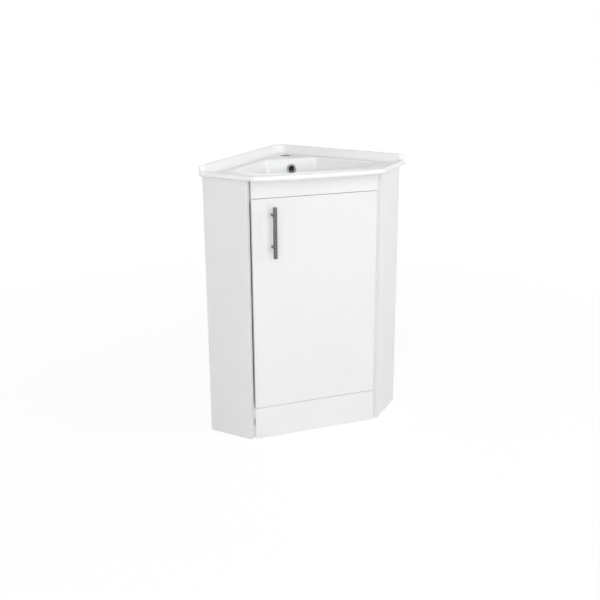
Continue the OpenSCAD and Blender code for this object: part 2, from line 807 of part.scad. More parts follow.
// The places of the screws that hold a cup's flange, on the door's back face
module cup_screw_places() {
    for (z = [-wing_z, wing_z]) translate([cup_x + wing_x, door_back, z]) children();
}

module door_panel() {
    color(white) unit() difference() {
        translate([door_left, door_y, door_z0])
            cube([door_x - door_left, front_t, door_z1 - door_z0]);
        for (z = hinge_levels) translate([0, 0, z]) {
            translate([cup_x, door_back - cup_bore_d, 0]) y_rod(cup_bore_r, cup_bore_d + eps);
            cup_screw_places() screw_hole();
        }
        for (z = handle_levels)
            translate([bar_x, door_y - eps, z]) y_rod(handle_screw_r + cup_gap, front_t + 2 * eps);
    }
}

module door_buffers() {
    color("gainsboro") unit() for (z = buffer_z)
        translate([buffer_x, door_back, z]) y_rod(buffer_r, buffer_t);
}

module handle_bar() {
    color("dimgray") unit() difference() {
        translate([bar_x, bar_y, bar_z - bar_l / 2]) cylinder(r = bar_r, h = bar_l);
        for (z = handle_levels) translate([bar_x, bar_y + bar_r - post_seat - hole_gap, z])
            y_rod(post_r + hole_gap, post_seat + 1);
    }
}

module handle_posts() {
    color("dimgray") unit() for (z = handle_levels) difference() {
        translate([bar_x, bar_y + bar_r - post_seat, z]) y_rod(post_r, bar_standoff - bar_r + post_seat);
        translate([bar_x, door_back - handle_screw_l - 1, z])
            y_rod(handle_screw_r + hole_gap, handle_screw_l);
    }
}

module handle_screws() {
    color("silver") unit() for (z = handle_levels) translate([bar_x, door_back, z])
        screw(shank_r = handle_screw_r, shank_l = handle_screw_l, top_r = 2 * handle_screw_r, top_h = 2.4);
}

// ---------- hinges ----------

// The cup with its flange, two ears for the pin, and a mouth that is open towards the door's edge
module hinge_cup() {
    difference() {
        union() {
            difference() {
                translate([cup_x, cup_back, 0]) y_rod(cup_r, door_back - cup_back + plate_t / 2);
                translate([cup_x, cup_back + cup_floor, 0]) y_rod(cup_inner_r, front_t);
            }
            difference() {
                cup_flange();
                translate([cup_x, door_back - 1, 0]) y_rod(cup_inner_r, plate_t + 2);
            }
            cup_ears();
        }
        translate([cup_x, door_back - mouth_d, -arm_h / 2 - 1])
            cube([cup_r + 5, mouth_d + plate_t, arm_h + 2]);
        translate([pin_x, pin_y, -pin_l / 2 - 1]) cylinder(r = pin_r + hole_gap, h = pin_l + 2);
        cup_screw_places() translate([0, -1, 0]) y_rod(screw_r + hole_gap, plate_t + 2);
    }
}

module cup_flange() {
    translate([cup_x, door_back, 0]) y_rod(cup_r + 1, plate_t / 2);
    translate([cup_x + wing_x - wing_end, door_back, -wing_z - wing_end])
        cube([2 * wing_end, plate_t / 2, 2 * (wing_z + wing_end)]);
}

module cup_ears() {
    for (z = [-arm_h / 2 - ear_gap - ear_t, arm_h / 2 + ear_gap]) intersection() {
        translate([pin_x - ear_in, cup_back, z]) cube([cup_r, pin_y - cup_back + ear_up, ear_t]);
        translate([cup_x, cup_back, 0]) y_rod(cup_r - cup_wall / 2, front_t);
    }
}

module upper_hinge_cup() {
    color("silver") unit() translate([0, 0, upper_hinge_z]) hinge_cup();
}

module lower_hinge_cup() {
    color("silver") unit() translate([0, 0, lower_hinge_z]) hinge_cup();
}

module hinge_pin() {
    translate([pin_x, pin_y, -pin_l / 2]) cylinder(r = pin_r, h = pin_l);
}

module upper_hinge_pin() {
    color("gray") unit() translate([0, 0, upper_hinge_z]) hinge_pin();
}

module lower_hinge_pin() {
    color("gray") unit() translate([0, 0, lower_hinge_z]) hinge_pin();
}

module cup_screws() {
    color("silver") unit() for (z = hinge_levels)
        translate([0, plate_t / 2, z]) cup_screw_places() screw();
}

// The arm's centre line: round the door's edge, across to the side panel and back along it
function on_panel_point(x) = [in_x + (x - arm_y) / r2, in_y + (x + arm_y) / r2];
arm_turn = (pin_y + neck_y - in_y) * r2 - arm_y;
arm_path = concat(
    [for (p = neck) p + [pin_x, pin_y]],
    [on_panel_point(arm_turn), on_panel_point(arm_end)]
);

module hinge_arm() {
    difference() {
        union() {
            translate([0, 0, -arm_h / 2]) linear_extrude(height = arm_h)
                polygon(strip(arm_path, -arm_t / 2, arm_t / 2));
            translate([pin_x, pin_y, -arm_h / 2]) cylinder(r = eye_r, h = arm_h);
        }
        translate([pin_x, pin_y, -arm_h]) cylinder(r = pin_r + pin_gap, h = 2 * arm_h);
        on_side_panel() translate([arm_screw_x, 0, 0]) y_rod(screw_r + hole_gap, arm_y + arm_t);
    }
}

module upper_hinge_arm() {
    color("silver") unit() translate([0, 0, upper_hinge_z]) hinge_arm();
}

module lower_hinge_arm() {
    color("silver") unit() translate([0, 0, lower_hinge_z]) hinge_arm();
}

// The mounting plate with its ridge, on the side panel's inner face
module hinge_plate() {
    on_side_panel() difference() {
        union() {
            translate([plate_x0, 0, -plate_w / 2]) cube([plate_l, plate_t, plate_w]);
            translate([plate_line - plate_wing_w / 2, 0, -plate_pitch / 2 - plate_wing_end])
                cube([plate_wing_w, plate_t, plate_pitch + 2 * plate_wing_end]);
            translate([plate_x0 + plate_edge, 0, -arm_h / 2 + ridge_step])
                cube([plate_l - 2 * plate_edge, plate_t + ridge_h, arm_h - 2 * ridge_step]);
        }
        plate_screw_places() translate([0, -1, 0]) y_rod(screw_r + hole_gap, plate_t + 2);
        translate([arm_screw_x, 1, 0]) y_rod(screw_r + hole_gap, plate_t + ridge_h);
    }
}

module plate_screw_places() {
    for (z = [-plate_pitch / 2, plate_pitch / 2]) translate([plate_line, 0, z]) children();
}

module upper_hinge_plate() {
    color("silver") unit() translate([0, 0, upper_hinge_z]) hinge_plate();
}

module lower_hinge_plate() {
    color("silver") unit() translate([0, 0, lower_hinge_z]) hinge_plate();
}

module plate_screws() {
    color("silver") unit() on_side_panel() for (z = hinge_levels)
        translate([0, plate_t, z]) plate_screw_places() screw();
}

module arm_screws() {
    color("silver") unit() on_side_panel() for (z = hinge_levels)
        translate([arm_screw_x, arm_y + arm_t / 2, z]) screw(shank_l = arm_t + ridge_h);
}

basin();
overflow_ring();
left_side_panel();
right_side_panel();
base_panel();
plinth_panel();
top_rail();
front_batten();
corner_post();
left_upper_rail();
right_upper_rail();
left_lower_rail();
right_lower_rail();
left_back_panel();
right_back_panel();
carcass_dowels();
corner_brackets();
plinth_brackets();
bracket_screws();
rail_screws();
door_panel();
door_buffers();
handle_bar();
handle_posts();
handle_screws();
upper_hinge_cup();
lower_hinge_cup();
upper_hinge_pin();
lower_hinge_pin();
cup_screws();
upper_hinge_arm();
lower_hinge_arm();
arm_screws();
upper_hinge_plate();
lower_hinge_plate();
plate_screws();
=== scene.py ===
# Looks of the corner vanity unit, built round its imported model. The scene is in metres, +Z up, with
# the door facing -Y. Names in capitals in the sections on sizes and on the basin hold millimetres.
import math

import bmesh
import bpy
import numpy as np
from mathutils import Matrix, Vector


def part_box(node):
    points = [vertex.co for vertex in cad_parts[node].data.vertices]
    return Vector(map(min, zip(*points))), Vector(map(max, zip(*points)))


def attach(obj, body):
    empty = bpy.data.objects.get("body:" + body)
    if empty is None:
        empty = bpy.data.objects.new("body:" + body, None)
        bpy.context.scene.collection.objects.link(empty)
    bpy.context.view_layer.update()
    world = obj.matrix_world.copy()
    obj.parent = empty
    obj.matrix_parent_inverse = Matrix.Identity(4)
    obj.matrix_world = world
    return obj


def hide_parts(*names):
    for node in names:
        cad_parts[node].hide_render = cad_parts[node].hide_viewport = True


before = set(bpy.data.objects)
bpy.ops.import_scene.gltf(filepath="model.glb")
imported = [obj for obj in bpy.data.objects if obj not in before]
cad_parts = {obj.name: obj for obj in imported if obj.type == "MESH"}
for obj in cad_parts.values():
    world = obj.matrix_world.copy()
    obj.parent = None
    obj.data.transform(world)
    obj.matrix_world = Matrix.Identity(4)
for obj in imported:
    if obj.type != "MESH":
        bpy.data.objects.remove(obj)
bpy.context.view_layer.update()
MM = 0.001
R2 = math.sqrt(2)

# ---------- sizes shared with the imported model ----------

# The cabinet: its front's width, a side panel's depth, the flat in the wall corner and its height
CAB_W, SIDE_D, CORNER_CUT, CAB_H = 418.0, 147.0, 22.0, 818.0
# The basin's overhangs, the bow of its front edge, and its heights over the cabinet
OVER_FRONT, OVER_SIDE, FRONT_BOW = 44.0, 23.0, 8.0
DECK_H, LIP_H, UPSTAND_H = 8.0, 15.8, 32.0

# In plan, y = 0 at the side panels' front corners, and x + y = WALL_SUM all along the right wall
WALL_SUM = CAB_W / 2 + SIDE_D * R2
BASIN_SIDE = CAB_W / 2 + OVER_SIDE * R2  # x - y all along the basin's right side
BACK_Y = WALL_SUM - CORNER_CUT
UNIT_Y = -(BACK_Y - OVER_FRONT - FRONT_BOW) / 2  # brings the middle of the plan to the origin

BASIN_Z = CAB_H
DECK_Z, LIP_Z, TOP_Z = BASIN_Z + DECK_H, BASIN_Z + LIP_H, BASIN_Z + UPSTAND_H
TAP_R, TAP_BACK = 17.5, 77.0  # the tap hole's radius, and its axis' distance from the cut wall corner
TAP_PLACE = Vector((0, (BACK_Y - TAP_BACK + UNIT_Y) * MM, DECK_Z * MM))  # in metres


# ---------- materials ----------

def material(name):
    """A new material, its node tree and its shader."""
    m = bpy.data.materials.new(name)
    m.use_nodes = True
    nt = m.node_tree
    return m, nt, nt.nodes["Principled BSDF"]


def node(nt, kind, **values):
    """A new node. Each value goes to the input of that name, or else to the setting."""
    n = nt.nodes.new(kind)
    for key, value in values.items():
        if key in n.inputs:
            n.inputs[key].default_value = value
        else:
            setattr(n, key, value)
    return n


def coords(nt, scale=(1, 1, 1)):
    """Places on the object, stretched by a scale for each axis."""
    tex = node(nt, "ShaderNodeTexCoord")
    mapping = node(nt, "ShaderNodeMapping", Scale=scale)
    nt.links.new(tex.outputs["Object"], mapping.inputs["Vector"])
    return mapping.outputs["Vector"]


def noise(nt, vector, scale, detail=3.0, rough=0.5):
    n = node(nt, "ShaderNodeTexNoise", Scale=scale, Detail=detail, Roughness=rough)
    nt.links.new(vector, n.inputs["Vector"])
    return n.outputs["Fac"]


MIDDLE = (0.3, 0.7)  # nearly all of a noise lies between these values


def spread(nt, value, low, high, frm=MIDDLE):
    """A number between low and high, as the value goes from one end of frm to the other."""
    ends = {"From Min": frm[0], "From Max": frm[1], "To Min": low, "To Max": high}
    r = node(nt, "ShaderNodeMapRange", **ends)
    nt.links.new(value, r.inputs["Value"])
    return r.outputs["Result"]


def tint(nt, value, low, high):
    """A colour between low and high, as the value goes through the middle of a noise."""
    ramp = node(nt, "ShaderNodeValToRGB")
    for stop, place, colour in zip(ramp.color_ramp.elements, MIDDLE, (low, high)):
        stop.position = place
        stop.color = (*colour, 1)
    nt.links.new(value, ramp.inputs["Fac"])
    return ramp.outputs["Color"]


def bump(nt, shader, height, strength, distance):
    b = node(nt, "ShaderNodeBump", Strength=strength, Distance=distance)
    nt.links.new(height, b.inputs["Height"])
    nt.links.new(b.outputs["Normal"], shader.inputs["Normal"])


def lacquer():
    """Gloss white foil on board: near white, a faint mottle and a very fine orange peel."""
    m, nt, s = material("white_lacquer")
    v = coords(nt)
    nt.links.new(tint(nt, noise(nt, v, 9, 2), (0.862, 0.862, 0.856), (0.876, 0.876, 0.871)),
                 s.inputs["Base Color"])
    nt.links.new(spread(nt, noise(nt, v, 60, 4), 0.06, 0.1), s.inputs["Roughness"])
    bump(nt, s, noise(nt, v, 420, 2), 0.05, 0.0004)
    return m


def melamine():
    """Satin white melamine with a pearl texture."""
    m, nt, s = material("inside_melamine")
    v = coords(nt)
    nt.links.new(tint(nt, noise(nt, v, 14, 3), (0.8, 0.8, 0.79), (0.83, 0.83, 0.82)),
                 s.inputs["Base Color"])
    nt.links.new(spread(nt, noise(nt, v, 180, 3), 0.38, 0.5), s.inputs["Roughness"])
    bump(nt, s, noise(nt, v, 900, 3), 0.12, 0.0004)
    return m


def mixed(nt, kind, share, a, b):
    """One of two colours or numbers, by a share from 0 to 1."""
    m = node(nt, "ShaderNodeMix", data_type=kind)
    tail = {"RGBA": "_Color", "FLOAT": "_Float"}[kind]
    nt.links.new(share, next(i for i in m.inputs if i.identifier == "Factor_Float"))
    for value, end in ((a, "A"), (b, "B")):
        nt.links.new(value, next(i for i in m.inputs if i.identifier == end + tail))
    return next(o for o in m.outputs if o.identifier == "Result" + tail)


HOLE_SHADE_DEPTHS = (2.2 * MM, 1.6 * MM)  # in the tap hole, painted shade takes over from the glaze over these depths


def in_tap_hole(nt):
    """1 on the wall of the tap hole, below its rounded rim, where shade is painted, and 0 elsewhere."""
    away = node(nt, "ShaderNodeVectorMath", operation="DISTANCE")
    nt.links.new(coords(nt, scale=(1, 1, 0)), away.inputs[0])
    away.inputs[1].default_value = (0, TAP_PLACE.y, 0)
    near = node(nt, "ShaderNodeMath", operation="LESS_THAN")
    nt.links.new(away.outputs["Value"], near.inputs[0])
    near.inputs[1].default_value = (TAP_R + 0.3) * MM
    height = node(nt, "ShaderNodeSeparateXYZ")
    nt.links.new(coords(nt), height.inputs["Vector"])
    fade = [TAP_PLACE.z - depth for depth in HOLE_SHADE_DEPTHS]
    both = node(nt, "ShaderNodeMath", operation="MULTIPLY")
    nt.links.new(near.outputs["Value"], both.inputs[0])
    nt.links.new(spread(nt, height.outputs["Z"], 1.0, 0.0, fade), both.inputs[1])
    return both.outputs["Value"]


def glaze():
    """Glazed ceramic: cool white, faintly wavy like a fired glaze. The tap hole's wall is rough and
    painted dark grey as shade.
    """
    m, nt, s = material("white_glaze")
    v = coords(nt)
    painted_shade_in_hole = in_tap_hole(nt)
    coat = tint(nt, noise(nt, v, 7, 2), (0.897, 0.908, 0.904), (0.909, 0.919, 0.915))
    # painted shade: the tap hole's wall is dark grey here, as it looks in shade
    hole_shade_colour = tint(nt, noise(nt, v, 400, 4), (0.42, 0.415, 0.405), (0.52, 0.515, 0.505))
    nt.links.new(mixed(nt, "RGBA", painted_shade_in_hole, coat, hole_shade_colour), s.inputs["Base Color"])
    nt.links.new(mixed(nt, "FLOAT", painted_shade_in_hole, spread(nt, noise(nt, v, 35, 3), 0.1, 0.15),
                       spread(nt, noise(nt, v, 300, 3), 0.6, 0.8)), s.inputs["Roughness"])
    s.inputs["IOR"].default_value = 1.46
    bump(nt, s, noise(nt, v, 55, 2), 0.06, 0.0012)
    return m


def brushed(name, low, high, rough, along):
    """Brushed metal with its streaks along one axis: 0, 1 or 2 for X, Y or Z."""
    m, nt, s = material(name)
    stretch = [12 if axis == along else 900 for axis in range(3)]
    v = coords(nt, scale=stretch)
    lines = noise(nt, v, 1.0, 4, 0.6)
    cloud = noise(nt, coords(nt), 40, 3)
    nt.links.new(tint(nt, lines, low, high), s.inputs["Base Color"])
    mix = node(nt, "ShaderNodeMath", operation="ADD")
    nt.links.new(spread(nt, lines, rough - 0.05, rough + 0.05), mix.inputs[0])
    nt.links.new(spread(nt, cloud, -0.03, 0.03), mix.inputs[1])
    nt.links.new(mix.outputs["Value"], s.inputs["Roughness"])
    s.inputs["Metallic"].default_value = 1.0
    bump(nt, s, lines, 0.1, 0.0002)
    return m


def plated(name, low, high, rough):
    """Plated metal: bright, with a faint haze and fine handling marks."""
    m, nt, s = material(name)
    v = coords(nt)
    nt.links.new(tint(nt, noise(nt, v, 120, 3), low, high), s.inputs["Base Color"])
    nt.links.new(spread(nt, noise(nt, v, 260, 4), rough * 0.7, rough * 1.4), s.inputs["Roughness"])
    s.inputs["Metallic"].default_value = 1.0
    bump(nt, s, noise(nt, v, 700, 2), 0.03, 0.0002)
    return m


def beech():
    """Plain beech with its grain along Z."""
    m, nt, s = material("dowel_beech")
    v = coords(nt, scale=(260, 260, 40))
    grain = noise(nt, v, 1.0, 5, 0.6)
    nt.links.new(tint(nt, grain, (0.5, 0.34, 0.19), (0.68, 0.5, 0.31)), s.inputs["Base Color"])
    nt.links.new(spread(nt, grain, 0.55, 0.75), s.inputs["Roughness"])
    bump(nt, s, grain, 0.3, 0.0003)
    return m


def soft_buffer():
    """Milky soft plastic."""
    m, nt, s = material("buffer_plastic")
    v = coords(nt)
    nt.links.new(tint(nt, noise(nt, v, 300, 3), (0.66, 0.67, 0.68), (0.74, 0.75, 0.76)),
                 s.inputs["Base Color"])
    nt.links.new(spread(nt, noise(nt, v, 500, 2), 0.3, 0.45), s.inputs["Roughness"])
    bump(nt, s, noise(nt, v, 900, 2), 0.08, 0.0003)
    return m


WHITE = lacquer()
INSIDE = melamine()
GLAZE = glaze()
CHROME = plated("satin_chrome", (0.21, 0.22, 0.23), (0.27, 0.28, 0.29), 0.2)
STEEL = plated("zinc_steel", (0.5, 0.5, 0.49), (0.6, 0.6, 0.59), 0.26)
NICKEL = plated("nickel_hinge", (0.56, 0.55, 0.52), (0.64, 0.63, 0.6), 0.18)
HANDLE = brushed("dark_satin_steel", (0.14, 0.138, 0.134), (0.19, 0.187, 0.182), 0.3, 2)
BEECH = beech()
BUFFER = soft_buffer()


# ---------- mesh helpers ----------

def as_object(name, bm):
    """An object with the mesh that was built, which is used up."""
    mesh = bpy.data.meshes.new(name)
    bm.to_mesh(mesh)
    bm.free()
    o = bpy.data.objects.new(name, mesh)
    bpy.context.scene.collection.objects.link(o)
    return o


def put(name, bm, mat, body, slot, *replaced):
    """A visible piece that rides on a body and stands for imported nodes."""
    o = as_object(name, bm)
    o.data.materials.clear()
    o.data.materials.append(mat)
    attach(o, body)
    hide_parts(*replaced)
    return o


def apply_modifiers(o):
    """The object's mesh becomes what its modifiers make of it."""
    dg = bpy.context.evaluated_depsgraph_get()
    shaped = o.evaluated_get(dg)
    made = bpy.data.meshes.new_from_object(shaped, preserve_all_data_layers=True, depsgraph=dg)
    o.modifiers.clear()
    o.data = made


def sharpen(bm, degrees):
    """Smooth shading with sharp edges where the faces meet at more than an angle."""
    for e in bm.edges:
        e.smooth = not (e.is_manifold and e.calc_face_angle(0) > math.radians(degrees))
    for f in bm.faces:
        f.smooth = True


def lathe(profile, steps, closed):
    """Turns a profile of (radius, height) pairs round +Z. A radius of 0 makes one point on the axis."""
    bm = bmesh.new()
    turns = [2 * math.pi * k / steps for k in range(steps)]
    rings = []
    for r, h in profile:
        places = [(r * math.cos(a), r * math.sin(a), h) for a in turns] if r else [(0, 0, h)]
        rings.append([bm.verts.new(place) for place in places])
    pairs = list(zip(rings, rings[1:]))
    if closed:
        pairs.append((rings[-1], rings[0]))
    for a, b in pairs:
        for k in range(steps):
            j = (k + 1) % steps
            if len(a) == 1:
                bm.faces.new((a[0], b[k], b[j]))
            elif len(b) == 1:
                bm.faces.new((a[k], b[0], a[j]))
            else:
                bm.faces.new((a[k], b[k], b[j], a[j]))
    bmesh.ops.recalc_face_normals(bm, faces=bm.faces)
    return bm


def arc(centre, r, start, end, n):
    """Points (radius, height) on an arc, angles in degrees."""
    angles = [math.radians(start + (end - start) * k / n) for k in range(n + 1)]
    return [(centre[0] + r * math.cos(a), centre[1] + r * math.sin(a)) for a in angles]


def in_metres(profile):
    """The same profile, from millimetres."""
    return [(r * MM, h * MM) for r, h in profile]


# ---------- basin ----------

# Widths of the lip and of the sloping upstand
LIP_W, UPSTAND_W = 20.0, 33.0
# How far the bowl's edge is from the basin's front, sides, walls and cut corner, and its front's bow
BOWL_FRONT, BOWL_SIDE, BOWL_WALL, BOWL_BACK, BOWL_BOW = 70.0, 80.0, 57.0, 143.0, 3.0
DEPTH, SHELL = 106.0, 9.0  # depth of the bowl below the deck, thickness of the ceramic
DRAIN_Y, DRAIN_Z, WASTE_R = 148.0, DECK_Z - DEPTH, 22.5
# The bowl's wall and floor: how far each ring is inside the bowl's edge at the front, sides, walls and
# back, and its share of the bowl's depth
LEVELS = [
    [0, 0, 0, 0, 0.023],
    [4, 5, 2.5, 2, 0.075],
    [13, 13, 5.5, 4.5, 0.2],
    [29, 31, 13, 10.3, 0.49],
    [38, 46, 21, 18, 0.62],
    [50, 66, 34, 29, 0.77],
    [60, 88, 52, 44, 0.91],
    [70, 110, 74, 61, 0.972],
]

# The radii of the bowl's front corners, side tips and rear corners: at its edge, and how much they
# change over its depth
BOWL_RADII = [(60, -25), (14, 17), (16, 21)]

# A ring of the basin is a row of ten: its distances inside the basin's front, sides, walls and cut
# corner, the radii of its front corners, side tips and rear corners, its heights at the front and at
# the walls, and its front's bow


def rim(free, wall, z_free, z_wall, radii=(14, 12, 10)):
    """A ring of the lip and the upstand."""
    return [free, free, wall, wall, *radii, z_free, z_wall, FRONT_BOW]


def bowl(level, out=0.0, down=0.0):
    """A ring of the bowl's wall, or one that lies further out and down."""
    z = DECK_Z - level[4] * DEPTH - down
    edges = (BOWL_FRONT, BOWL_SIDE, BOWL_WALL, BOWL_BACK)
    inside = [edge + further - out for edge, further in zip(edges, level)]
    radii = [r + level[4] * change for r, change in BOWL_RADII]
    return [*inside, *radii, z, z, BOWL_BOW]


# From the basin's underside round its edge and down to the deck
RIM = [
    rim(6, 3, BASIN_Z, BASIN_Z),
    rim(1.4, 0.6, BASIN_Z + 2.6, BASIN_Z + 1.6),
    rim(0, 0, BASIN_Z + 7, BASIN_Z + 7),
    rim(0.8, 0, LIP_Z - 4.4, TOP_Z - 8),
    rim(3.6, 1.2, LIP_Z - 1.2, TOP_Z - 2.6),
    rim(8.4, 4, LIP_Z, TOP_Z),
    rim(LIP_W - 6.2, 8.6, LIP_Z - 1.3, TOP_Z - 1.2),
    rim(LIP_W - 2.6, UPSTAND_W * 0.52, LIP_Z - 4.4, TOP_Z - UPSTAND_H * 0.34),
    rim(LIP_W, UPSTAND_W * 0.8, DECK_Z + 1, TOP_Z - UPSTAND_H * 0.64),
    rim(LIP_W + 5, UPSTAND_W, DECK_Z + 0.2, DECK_Z + 0.2, (12, 10, 6)),
]
# On over the deck, to the bowl's rounded edge
DECK = [
    [BOWL_FRONT - 13, BOWL_SIDE - 14, BOWL_WALL - 9, BOWL_BACK - 16, 48, 12, 16, DECK_Z, DECK_Z, 5],
    [BOWL_FRONT - 3.5, BOWL_SIDE - 3.5, BOWL_WALL - 3, BOWL_BACK - 3.5, 58, 12, 16,
     DECK_Z - 0.5, DECK_Z - 0.5, BOWL_BOW],
]
# The ceramic's outside round the bowl, and the flat underside of the deck
OUTER = [bowl(level, SHELL, SHELL) for level in LEVELS[1:]]
UNDER = [rim(6, 3, BASIN_Z, BASIN_Z), bowl(LEVELS[1], SHELL, DECK_H - LEVELS[1][4] * DEPTH)]
# The waste hole's rounded edges: how far each ring is outside its wall, and below the bowl's floor
WASTE_EDGE = [
    (8, 0.6), (3.5, 1.1), (1.7, 1.5), (0.8, 2.1), (0.2, 2.9), (0, 4), (0, 6.5), (0, 8.8), (0.3, 9.5),
    (1.1, 9.9), (2.5, 10), (12, 10),
]
# How many rings lie in each gap of the rows above, or the shares of the gap where they lie
SOFT = (0.02, 0.06, 0.15, 0.3, 0.5, 0.7, 0.85, 0.94, 0.98)  # these keep a flat run flat
RIM_STEPS = [5, 5, 5, 5, 5, 5, 6, 5, 5]
DECK_STEPS = [SOFT, 5, 4]
BOWL_STEPS = [4, 5, 7, 6, 6, 6, 5]
OUTER_STEPS = [5, 6, 5, 5, 5, 5]


def pchip(x, y, xq):
    """Monotone cubic through the rows of y at x, sampled at xq."""
    x, y, xq = np.asarray(x, float), np.asarray(y, float), np.asarray(xq, float)
    h = np.diff(x)[:, None]
    d = np.diff(y, axis=0) / h
    m = np.zeros_like(y)
    m[0], m[-1] = d[0], d[-1]
    w1, w2 = 2 * h[1:] + h[:-1], h[1:] + 2 * h[:-1]
    same = d[:-1] * d[1:] > 0
    with np.errstate(divide="ignore", invalid="ignore"):
        inner = (w1 + w2) / (w1 / d[:-1] + w2 / d[1:])
    m[1:-1] = np.where(same, inner, 0)
    i = np.clip(np.searchsorted(x, xq, side="right") - 1, 0, len(x) - 2)
    t = ((xq - x[i]) / (x[i + 1] - x[i]))[:, None]
    hh = (x[i + 1] - x[i])[:, None]
    return ((2 * t**3 - 3 * t**2 + 1) * y[i] + (t**3 - 2 * t**2 + t) * hh * m[i]
            + (-2 * t**3 + 3 * t**2) * y[i + 1] + (t**3 - t**2) * hh * m[i + 1])


LEAST_GAP = 0.3  # rings count as at least this far apart


def refined(rings, steps):
    """Rings between the given ones. steps holds, for each gap, a count or the shares to sample."""
    x = [0.0]
    for a, b in zip(rings, rings[1:]):
        free = math.hypot(b[0] - a[0], b[7] - a[7])
        wall = math.hypot(b[2] - a[2], b[8] - a[8])
        x.append(x[-1] + max(LEAST_GAP, 0.5 * (free + wall)))
    q = [x[0]]
    for k, s in enumerate(steps):
        shares = [(j + 1) / s for j in range(s)] if isinstance(s, int) else list(s) + [1.0]
        q += [x[k] + (x[k + 1] - x[k]) * t for t in shares]
    return pchip(x, rings, q)


def rounded(p, r, a, turn, n):
    """The corner p of a path that goes in direction a and turns left there, rounded with radius r."""
    a, turn = math.radians(a), math.radians(turn)
    start = p - r * math.tan(turn / 2) * np.array([math.cos(a), math.sin(a)])
    c = start + r * np.array([-math.sin(a), math.cos(a)])
    angles = [a + turn * k / n for k in range(n + 1)]
    return [c + r * np.array([math.sin(angle), -math.cos(angle)]) for angle in angles]


def straight(a, b, n, ks):
    """Points on the way from a to b, at the given ones of n steps."""
    return [a + (b - a) * k / n for k in ks]


def smooth(t):
    """0 to 1 with soft ends."""
    u = min(1.0, max(0.0, t))
    return u * u * (3 - 2 * u)


# Points on each stretch of half a ring, from the middle of the front to the middle of the back
N_FRONT, N_CORNER, N_SIDE, N_TIP, N_WALL, N_REAR, N_BACK = 22, 12, 18, 24, 26, 10, 4
# Places round half a ring: 0 along the front, 9 at its corner, 14 to 20 round the side tip, then 20
AT_FRONT, AT_CORNER, AT_TIP, AT_WALL = 0.0, 9.0, 14.0, 20.0
# The places at some shares of the straight side
SIDE_AT = ([0, 0.3, 0.6, 0.8, 0.92, 1.0], [[9.0], [10.0], [11.0], [12.0], [13.0], [14.0]])
RISE_FROM, RISE_RUN = 12, 8  # the lip rises to the upstand from this place on, over so many
BOW_REACH = 60  # a bow fades out this far behind its front edge


def half_ring(ring):
    """The right half of a ring, as points (x, y, z) in plan millimetres."""
    f, s = -OVER_FRONT + ring[0], BASIN_SIDE - ring[1] * R2
    w, b = WALL_SUM - ring[2] * R2, BACK_Y - ring[3]
    front = rounded(np.array([s + f, f]), ring[4], 0, 45, N_CORNER)
    tip = rounded(np.array([(s + w) / 2, (w - s) / 2]), ring[5], 45, 90, N_TIP)
    rear = rounded(np.array([w - b, b]), ring[6], 135, 45, N_REAR)
    pts = straight(np.array([0, f]), front[0], N_FRONT, range(N_FRONT)) + front
    at = [AT_FRONT] * N_FRONT + [AT_CORNER] * len(front)
    shares = [(k + 1) / N_SIDE for k in range(N_SIDE - 1)]
    pts += [front[-1] + (tip[0] - front[-1]) * t for t in shares] + tip
    at += list(pchip(*SIDE_AT, shares)[:, 0])
    at += [AT_TIP + (AT_WALL - AT_TIP) * k / N_TIP for k in range(N_TIP + 1)]
    pts += straight(tip[-1], rear[0], N_WALL, range(1, N_WALL)) + rear
    pts += straight(rear[-1], np.array([0, b]), N_BACK, range(1, N_BACK + 1))
    at += [AT_WALL] * (len(pts) - len(at))
    reach = s + f
    out = []
    for p, i in zip(pts, at):
        bow = ring[9] * max(0.0, 1 - (p[0] / reach) ** 2) * max(0.0, 1 - (p[1] - f) / BOW_REACH)
        z = ring[7] + (ring[8] - ring[7]) * smooth((i - RISE_FROM) / RISE_RUN)
        out.append((p[0], p[1] - bow, z))
    return out


def full_ring(ring):
    """A whole ring, from its right half and that half's mirror image."""
    half = half_ring(ring)
    return half + [(-x, y, z) for x, y, z in half[-2:0:-1]]


def circle_like(ring, r, z):
    """A level circle round the drain, with a point in the direction of each of the ring's."""
    out = []
    for x, y, _ in ring:
        d = math.hypot(x, y - DRAIN_Y)
        out.append((x / d * r, DRAIN_Y + (y - DRAIN_Y) / d * r, z))
    return out


def blend_rings(a, b, across, down):
    """A ring between two others, by one share in plan and another one in height."""
    shares = (across, across, down)
    return [tuple(p + (q - p) * t for p, q, t in zip(u, v, shares)) for u, v in zip(a, b)]


FALL = 1.6  # the bowl's floor falls to the drain by a curve of this power


def basin_mesh():
    """The basin without its tap and overflow holes: a stack of rings, joined into a closed skin."""
    top = refined(RIM + DECK + [bowl(level) for level in LEVELS], RIM_STEPS + DECK_STEPS + BOWL_STEPS)
    stack = [full_ring(ring) for ring in top]
    floor = stack[-1]
    hole = [circle_like(floor, WASTE_R + out, DRAIN_Z - down) for out, down in WASTE_EDGE]
    stack += [blend_rings(floor, hole[0], t, 1 - (1 - t) ** FALL) for t in (0.2, 0.4, 0.6, 0.8)]
    stack += hole
    outer = [full_ring(ring) for ring in refined(OUTER, OUTER_STEPS)]
    stack += [blend_rings(hole[-1], outer[-1], t, t) for t in (0.33, 0.66)]
    stack += outer[::-1]
    under = [full_ring(ring) for ring in refined(UNDER, [SOFT])]
    stack += under[:0:-1]
    bm = bmesh.new()
    verts = [[bm.verts.new((x * MM, (y + UNIT_Y) * MM, z * MM)) for x, y, z in ring] for ring in stack]
    n = len(verts[0])
    for a, b in zip(verts, verts[1:] + verts[:1]):
        for i in range(n):
            j = (i + 1) % n
            bm.faces.new((a[i], a[j], b[j], b[i]))
    bmesh.ops.recalc_face_normals(bm, faces=bm.faces)
    sharpen(bm, 50)
    return bm


def cut(target, cutters):
    """Takes the cutters out of the target, one after the other."""
    for k, c in enumerate(cutters):
        mod = target.modifiers.new("cut%d" % k, "BOOLEAN")
        mod.operation = "DIFFERENCE"
        mod.solver = "EXACT"
        mod.object = c
    apply_modifiers(target)
    for c in cutters:
        bpy.data.objects.remove(c, do_unlink=True)


